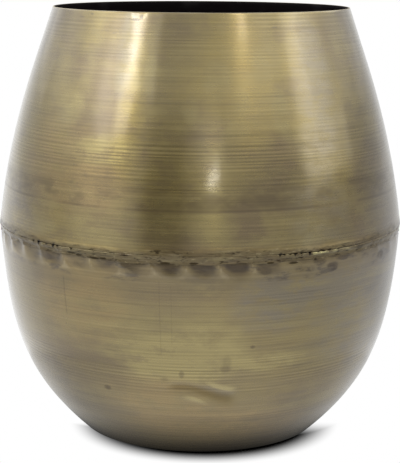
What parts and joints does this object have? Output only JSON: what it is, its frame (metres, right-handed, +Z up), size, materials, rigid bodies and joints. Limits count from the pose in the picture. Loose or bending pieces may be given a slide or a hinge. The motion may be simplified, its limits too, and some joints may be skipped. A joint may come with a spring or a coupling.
{
  "type": "vase",
  "caption": "Round metal vase with a wide belly and open mouth, made from a spun upper shell and a lower bowl joined by a crimped, brazed lap, on felt pads.",
  "frame": {"origin": "on the floor, on the vase's axis, at the underside of the felt pads", "axes": "+Z up along the vase's axis, towards the mouth; the front faces -Y"},
  "size_m": [0.286, 0.286, 0.3],
  "materials": {
    "aged_brass": "spun and antiqued, fine lathe lines, black lacquer inside",
    "braze_alloy": "rough, as brazed",
    "black_felt": "pressed felt"
  },
  "bodies": {
    "root": {"upper_shell": "aged_brass", "lower_bowl": "aged_brass", "braze_bead": "braze_alloy", "felt_pad_1": "black_felt", "felt_pad_2": "black_felt", "felt_pad_3": "black_felt", "felt_pad_4": "black_felt"}
  },
  "joints": []
}
